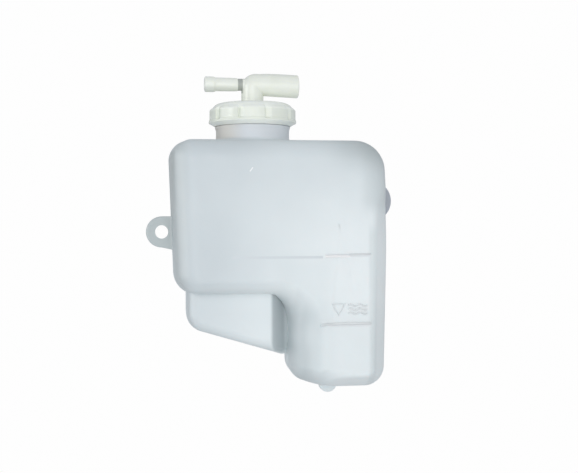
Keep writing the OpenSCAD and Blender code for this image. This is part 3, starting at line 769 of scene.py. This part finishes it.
hdpe = {
    "grey": "#d2d9dc", "milky": "#f0f6f7", "milkyX": (0.0, 0.122), "milkyZ": (0.06, -0.03), "leastMilky": 0.35,
    "pocket": ([("z", -0.031, -0.037), ("x", 0.083, 0.079)], 0.25),       # the foot block is milkier
    "cloudSize": 40, "cloudShare": 0.1, "skinSize": 1.6, "skinDepth": 0.06, "waveSize": 24, "waveDepth": 0.6,
    "roughness": (0.42, 0.52), "polished": 0.25,
    "slant": -0.543,      # the groove's slanting skin lies on the plane x = 81.4 mm + 0.543 y
    # painted highlight on the upper mark's crest, which is also less rough
    "crestHighlightAndGloss": stroke(-0.0159, 0.0007, 0.0985, 0.1160),
    # a short white stroke high on the face
    "whiteStroke": [onFace, ("along", 0.0605, 0.0615), ("along", 0.0645, 0.0635),
              ("aside", 0.01915, 0.0195), ("aside", 0.02015, 0.0198)],
}
hdpeTones = [      # limits, share and colour
    ([("z", 0.0575, 0.0605)], 1.0, "#d9dde1"),                                              # neck
    ([("z", 0.0575, 0.0605), ("x", 0.054, 0.038)], 1.0, "#d3d0ca"),                         # its left, warmer
    ([("x", 0.0075, 0.0055)], 1.0, "#c0c7c8"),                                              # ear, painted shade
    ([("x", 0.1422, 0.1432)], 1.0, "#b4b8c0"),                                              # side tab, painted shade
    ([("x", 0.119, 0.130), ("z", 0.006, 0.022), frontOnly], 0.34, "#b9c0c1"),               # right edge, high up: painted shade
    ([("x", 0.0175, 0.0085), ("z", -0.045, -0.036), frontOnly], 0.27, "#b5bbb5"),           # left edge, painted shade
    ([("x", 0.1262, 0.1290), ("x", 0.1345, 0.1310), ("z", 0.010, -0.006), frontOnly],
     0.26, "#b9c0c1"),                                                                      # right crease, painted shade
    ([("x", 0.085, 0.142), ("z", 0.030, 0.056), frontOnly], 1.0, "#b9c0c1"),                # top right corner, painted shade
    ([("slant", 0.0785, 0.0802), ("slant", 0.0820, 0.0816), ("y", -0.0005, -0.009),
      ("y", -0.0217, -0.0211), ("z", -0.036, -0.037)], 1.0, "#c2c8ca"),                     # groove, painted shade
    ([("x", 0.060, 0.080), ("x", 0.112, 0.094), ("z", -0.006, -0.026)], 0.22, "#cdd6d8"),   # over the groove
    ([("z", -0.038, -0.058), ("x", 0.0840, 0.0885)], ("x", 0.088, 0.102, 0.6, 0.15),
     "#ccd4d6"),                                                                            # column, painted shade most at its left
    ([("z", -0.064, -0.080), ("x", 0.0985, 0.086), ("y", 0.01, -0.01)], 0.42, "#c2cacc"),   # column, low down: painted shade
    (stroke(-0.0152, 0.0010, 0.0985, 0.1287), 1.0, "#e6eaec"),                              # painted shadow above the upper mark
    (stroke(-0.0592, 0.0009, 0.1000, 0.1287), 1.0, "#e8ecee"),                              # painted shadow under the lower mark
    (stroke(-0.0163, 0.0008, 0.0400, 0.0985), 1.0, "#dae0e3"),                              # a faint darker line, on from the upper mark to the left
]


def naturalHdpe():
    # natural high density polyethylene, blow moulded: milky, waxy, a little translucent, with
    # a fine blasted mould skin. Its tone is greyer and bluer towards the upper left and milkier
    # towards the lower right; painted shade darkens the ear, the side tab, the groove, the column
    # and several rounded edges and corners, and painted shadows lie along the level marks
    h = hdpe
    material, tree, shader, place = newMaterial("naturalHdpeBlowMoulded")
    x, y, z = addNode(tree, "ShaderNodeSeparateXYZ", Vector=place).outputs[:3]
    places = {"x": x, "y": y, "z": z, "slant": weighted(tree, y, h["slant"], x, 1.0),
              "along": weighted(tree, z, 0.8, x, 0.6), "aside": weighted(tree, z, -0.6, x, 0.8)}
    thick = noise(tree, place, h["cloudSize"], 2.0, Roughness=0.4)
    cloud = spread(tree, thick, 0.3, 0.7, -h["cloudShare"], h["cloudShare"])
    down = spread(tree, ramp(tree, z, *h["milkyZ"]), 0.0, 1.0, h["leastMilky"], 1.0)
    total = combine(tree, "ADD", product(tree, ramp(tree, x, *h["milkyX"]), down), zone(tree, places, *h["pocket"]))
    colour = blend(tree, combine(tree, "ADD", total, cloud, use_clamp=True), srgb(h["grey"]), srgb(h["milky"]))
    for limits, share, tone in hdpeTones:
        colour = blend(tree, zone(tree, places, limits, share), colour, srgb(tone))
    # the upper mark's crest gets a painted highlight in white and is less rough, and a short
    # white stroke lies high on the face
    crestHighlightAndGloss = zone(tree, places, h["crestHighlightAndGloss"])
    colour = blend(tree, crestHighlightAndGloss, colour, srgb("#ffffff"))
    colour = blend(tree, zone(tree, places, h["whiteStroke"]), colour, srgb("#ffffff"))
    tree.links.new(colour, shader.inputs["Base Color"])
    skin = noise(tree, place, h["skinSize"], 3.0, Roughness=0.6)
    wave = noise(tree, place, h["waveSize"], 1.0, Roughness=0.3)
    fine = bump(tree, skin, 0.25, h["skinDepth"])
    tree.links.new(bump(tree, wave, 0.5, h["waveDepth"], Normal=fine), shader.inputs["Normal"])
    rough = spread(tree, skin, 0.3, 0.7, *h["roughness"])
    tree.links.new(combine(tree, "MULTIPLY_ADD", crestHighlightAndGloss, -h["polished"], rough), shader.inputs["Roughness"])
    shader.inputs["IOR"].default_value = 1.54
    shader.inputs["Subsurface Weight"].default_value = 0.3
    shader.inputs["Subsurface Radius"].default_value = (0.8, 0.95, 1.0)
    shader.inputs["Subsurface Scale"].default_value = 0.003
    return material


capSkin = {"name": "creamPpCapSatin", "base": "#e9ede1", "shade": "#eef1e7", "roughness": 0.22, "grain": 0.7,
           "paintedLightBands": [(0.0706, 0.0699), (0.0768, 0.0790)]}      # painted light on lip and shoulder, from one height to the other
fittingSkin = {"name": "creamPpFittingSmooth", "base": "#f1f3e8", "shade": "#f5f7ee", "roughness": 0.24,
               "grain": 0.5, "paintedLightBands": []}
discSkin = {"name": "naturalPpDisc", "base": "#d9dcd8", "shade": "#e0e2df", "roughness": 0.4, "grain": 0.7,
            "paintedLightBands": []}
# painted shade: a grey band under the hose spigot, and a darker ring in the neck between it and the elbow
paintedShade = [([("x", 0.0495, 0.0480), ("z", 0.0948, 0.0918), ("z", 0.0875, 0.0885)], 0.4, "#c4c7c0"),
          ([("x", 0.0489, 0.0496), ("x", 0.0526, 0.0522), ("z", 0.0890, 0.0900)], 1.0, "#adb1ab")]


def creamPp(look):
    # polypropylene with a cream pigment, injection moulded: a tight skin from a polished or
    # finely blasted mould, with faint flow marks and a soft gloss
    material, tree, shader, place = newMaterial(look["name"])
    x, y, z = addNode(tree, "ShaderNodeSeparateXYZ", Vector=place).outputs[:3]
    places = {"x": x, "y": y, "z": z}
    flow = noise(tree, place, 14, 2.0, Roughness=0.5, Distortion=0.6)
    colour = blend(tree, spread(tree, flow, 0.3, 0.7, 0.0, 1.0), srgb(look["base"]), srgb(look["shade"]))
    # painted light: the listed bands are lightened to a paler cream
    for low, high in look["paintedLightBands"]:
        colour = blend(tree, zone(tree, places, [("z", low, high)]), colour, srgb("#fafdf4"))
    # painted shade under the hose spigot and in its neck
    for limits, share, tone in paintedShade:
        colour = blend(tree, zone(tree, places, limits, share), colour, srgb(tone))
    tree.links.new(colour, shader.inputs["Base Color"])
    skin = noise(tree, place, look["grain"], 2.0, Roughness=0.6)
    tree.links.new(bump(tree, skin, 0.3, 0.04), shader.inputs["Normal"])
    rough = spread(tree, skin, 0.3, 0.7, look["roughness"] - 0.04, look["roughness"] + 0.05)
    tree.links.new(rough, shader.inputs["Roughness"])
    shader.inputs["IOR"].default_value = 1.49
    shader.inputs["Subsurface Weight"].default_value = 0.2
    shader.inputs["Subsurface Radius"].default_value = (1.0, 0.95, 0.8)
    shader.inputs["Subsurface Scale"].default_value = 0.002
    return material


def epdmRubber():
    # black EPDM rubber, moulded: matt, with a dusty bloom and a fine grain
    material, tree, shader, place = newMaterial("epdmRubberMoulded")
    bloom = noise(tree, place, 5, 3.0, Roughness=0.6)
    tree.links.new(blend(tree, bloom, srgb("#1d1e1f"), srgb("#2c2d2e")), shader.inputs["Base Color"])
    grain = noise(tree, place, 0.5, 2.0)
    tree.links.new(bump(tree, grain, 0.4, 0.05), shader.inputs["Normal"])
    shader.inputs["Roughness"].default_value = 0.75
    return material


def extrudedPe():
    # polyethylene tube, extruded: waxy, with fine draw lines along it
    material, tree, shader, place = newMaterial("polyethyleneExtruded")
    stretch = addNode(tree, "ShaderNodeMapping", Vector=place, Scale=(1.0, 1.0, 0.02)).outputs[0]
    lines = noise(tree, stretch, 0.9, 2.0)
    tree.links.new(blend(tree, lines, srgb("#d2d7d8"), srgb("#dde1e1")), shader.inputs["Base Color"])
    tree.links.new(bump(tree, lines, 0.3, 0.05), shader.inputs["Normal"])
    shader.inputs["Roughness"].default_value = 0.4
    shader.inputs["Subsurface Weight"].default_value = 0.2
    shader.inputs["Subsurface Scale"].default_value = 0.002
    return material


def dress(obj, material):
    obj.data.materials.clear()
    obj.data.materials.append(material)


rubber = epdmRubber()
dress(tankBottle, naturalHdpe())
dress(screwCap, creamPp(capSkin))
dress(hoseFitting, creamPp(fittingSkin))
dress(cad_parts["inner_disc"], creamPp(discSkin))
dress(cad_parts["cap_gasket"], rubber)
dress(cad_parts["stem_o_ring"], rubber)
dress(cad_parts["dip_tube"], extrudedPe())
print("materials made")


view = {"place": (-0.0412, -0.7406, -0.0033), "yaw": -9.5, "roll": 0.25, "focalPixels": 1150, "width": 578,
        "sensor": 36.0}
keyLight = {"place": (-0.14, -1.05, 0.02), "target": (0.06, 0, -0.02), "energy": 4.5, "size": 0.9}
cardTarget, cardHeight = (0.05, 0, 0.05), 0.9
cards = [("sideCard", (-1.0, -0.46, 0.12), 3.0, 0.14),      # name, place, energy and width
         ("wideCard", (-1.0, -0.1, 0.12), 3.2, 0.5),
         ("rimCard", (-0.9, 0.31, 0.12), 1.6, 0.16)]
backdrop = {"soft": (0.92, 0.96, 1.0, 1), "softStrength": 0.62, "plain": (1, 1, 1, 1), "plainStrength": 0.99}
floor = {"radius": 4.0, "height": -0.1064, "glow": 0.99, "corners": 64}


def areaLight(name, place, target, energy, width, height):
    light = bpy.data.lights.new(name, "AREA")
    light.energy, light.shape, light.size, light.size_y = energy, "RECTANGLE", width, height
    obj = bpy.data.objects.new(name, light)
    bpy.context.scene.collection.objects.link(obj)
    obj.location = place
    away = np.array(place) - np.array(target)
    obj.rotation_euler = (math.acos(away[2] / np.linalg.norm(away)), 0, math.atan2(away[1], away[0]) + math.pi / 2)
    return obj


def studio():
    lens = bpy.data.cameras.new("camera")
    lens.sensor_width = view["sensor"]
    lens.lens = view["focalPixels"] / view["width"] * view["sensor"]
    camera = bpy.data.objects.new("camera", lens)
    bpy.context.scene.collection.objects.link(camera)
    camera.location = view["place"]
    camera.rotation_mode = "XYZ"
    camera.rotation_euler = (math.radians(90), math.radians(view["roll"]), math.radians(view["yaw"]))
    bpy.context.scene.camera = camera
    key = keyLight
    areaLight("keyLight", key["place"], key["target"], key["energy"], key["size"], key["size"])
    # tall reflector cards on the left, seen only as gloss on cap and fitting
    for name, place, energy, width in cards:
        card = areaLight(name, place, cardTarget, energy, width, cardHeight)
        card.visible_diffuse = card.visible_transmission = False
    world = bpy.data.worlds.new("studio")
    bpy.context.scene.world = world
    world.use_nodes = True
    tree = world.node_tree
    tree.nodes.clear()
    seen = addNode(tree, "ShaderNodeLightPath").outputs["Is Camera Ray"]
    soft = addNode(tree, "ShaderNodeBackground", Color=backdrop["soft"], Strength=backdrop["softStrength"])
    plain = addNode(tree, "ShaderNodeBackground", Color=backdrop["plain"], Strength=backdrop["plainStrength"])
    mix = addNode(tree, "ShaderNodeMixShader", Fac=seen, i1=soft.outputs[0], i2=plain.outputs[0])
    addNode(tree, "ShaderNodeOutputWorld", Surface=mix.outputs[0])


def floorDisc():
    # plain pale lit floor just under the lowest point, as white as the backdrop; it throws no
    # light back on the part, because the photograph shows none from below
    mesh = bpy.data.meshes.new("floor")
    angle = np.linspace(0, 2 * math.pi, floor["corners"], endpoint=False)
    verts = np.stack([floor["radius"] * np.cos(angle), floor["radius"] * np.sin(angle),
                      np.full(floor["corners"], floor["height"])], axis=1)
    mesh.from_pydata(verts.tolist(), [], [list(range(floor["corners"]))])
    disc = bpy.data.objects.new("floor", mesh)
    bpy.context.scene.collection.objects.link(disc)
    material, _, shader, _ = newMaterial("paleFloor")
    shader.inputs["Base Color"].default_value = (0, 0, 0, 1)
    shader.inputs["Specular IOR Level"].default_value = 0.0
    shader.inputs["Emission Color"].default_value = (1, 1, 1, 1)
    shader.inputs["Emission Strength"].default_value = floor["glow"]
    dress(disc, material)
    disc.visible_diffuse = disc.visible_glossy = disc.visible_transmission = disc.visible_shadow = False


studio()
floorDisc()
bpy.context.scene.view_settings.view_transform = "Standard"
print("studio made")
